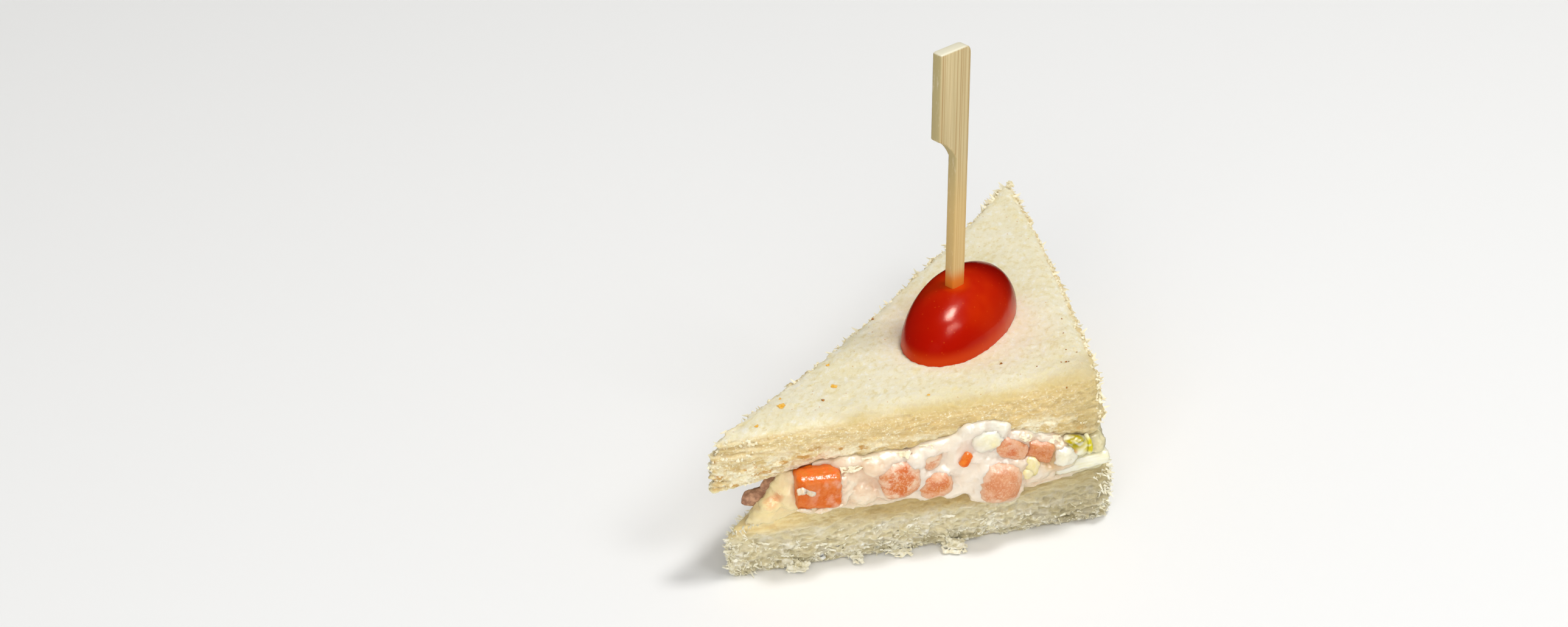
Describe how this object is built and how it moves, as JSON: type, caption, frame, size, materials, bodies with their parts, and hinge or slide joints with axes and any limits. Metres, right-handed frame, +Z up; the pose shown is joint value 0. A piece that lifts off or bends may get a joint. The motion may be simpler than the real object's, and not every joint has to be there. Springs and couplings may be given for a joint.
{
  "type": "tramezzino",
  "caption": "Small triangular crustless white bread sandwich filled with tuna, mayonnaise and diced tomato, topped with half a cherry tomato on a flat bamboo paddle pick.",
  "frame": {"origin": "on the table plane under the middle of the bounding box", "axes": "+Z up along the pick, +X along the front cut side towards the right corner, +Y away from that side towards the back tip"},
  "size_m": [0.0876, 0.089, 0.0934],
  "materials": {
    "bread": "soft crumb, cream white",
    "filling": "moist tuna and mayonnaise cream",
    "tomato_skin": "glossy red skin",
    "tomato_flesh": "moist diced flesh, partly coated in cream",
    "egg_white": "moist, pale",
    "salad": "pale translucent rib, moist",
    "bamboo": "smooth pale bamboo with straight fibres"
  },
  "bodies": {
    "root": {"bread_bottom": "bread", "filling": "filling", "bread_top": "bread", "tomato_half": "tomato_skin", "pick": "bamboo", "tomato_dice_1": "tomato_flesh", "tomato_dice_2": "tomato_flesh", "tomato_dice_3": "tomato_flesh", "tomato_dice_4": "tomato_flesh", "tomato_dice_5": "tomato_flesh", "tomato_dice_6": "tomato_flesh", "tomato_dice_7": "tomato_flesh", "tomato_dice_8": "tomato_flesh", "tomato_dice_9": "tomato_flesh", "tomato_dice_10": "tomato_flesh", "tomato_dice_11": "tomato_flesh", "egg_white_1": "egg_white", "egg_white_2": "egg_white", "egg_white_3": "egg_white", "egg_white_4": "egg_white", "salad_rib": "salad"}
  },
  "joints": []
}
